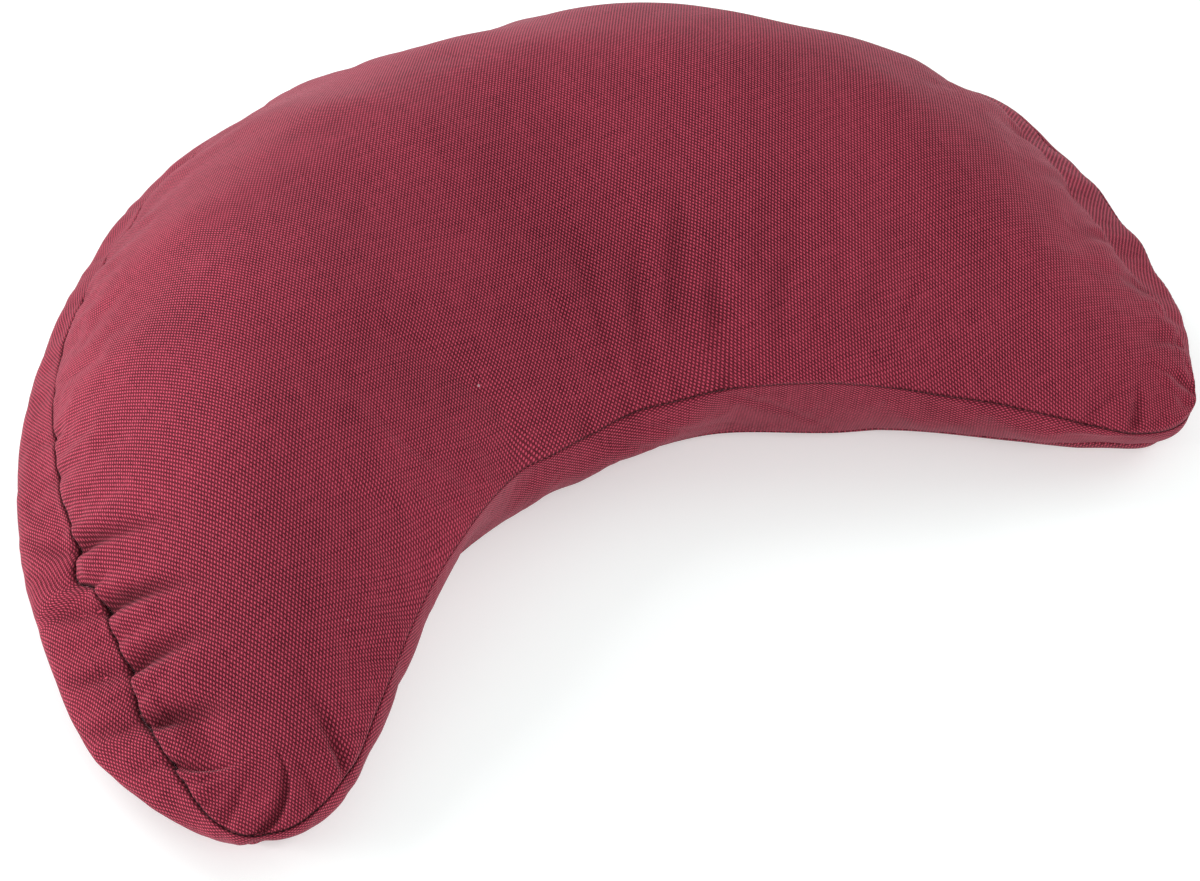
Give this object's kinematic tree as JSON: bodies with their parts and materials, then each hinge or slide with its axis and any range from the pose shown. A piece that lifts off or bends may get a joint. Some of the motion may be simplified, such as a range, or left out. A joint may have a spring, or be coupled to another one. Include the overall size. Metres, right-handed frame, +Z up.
{
  "type": "crescent meditation cushion",
  "caption": "Plump crescent floor cushion in plain red canvas: a crowned top panel, a side band that tapers to the tips, and a flat bottom panel.",
  "frame": {"origin": "on the ground, under the middle of the cushion's bounding box", "axes": "+Z up; +X from the left tip to the right tip, seen from the sitter's side; the hollow side of the crescent faces -Y"},
  "size_m": [0.4558, 0.3236, 0.104],
  "materials": {
    "canvas": "plain woven cotton canvas, crimson, matt with a faint fuzz"
  },
  "bodies": {
    "root": {"cushion_body": "canvas", "side_band": "canvas", "bottom_panel": "canvas"}
  },
  "joints": []
}
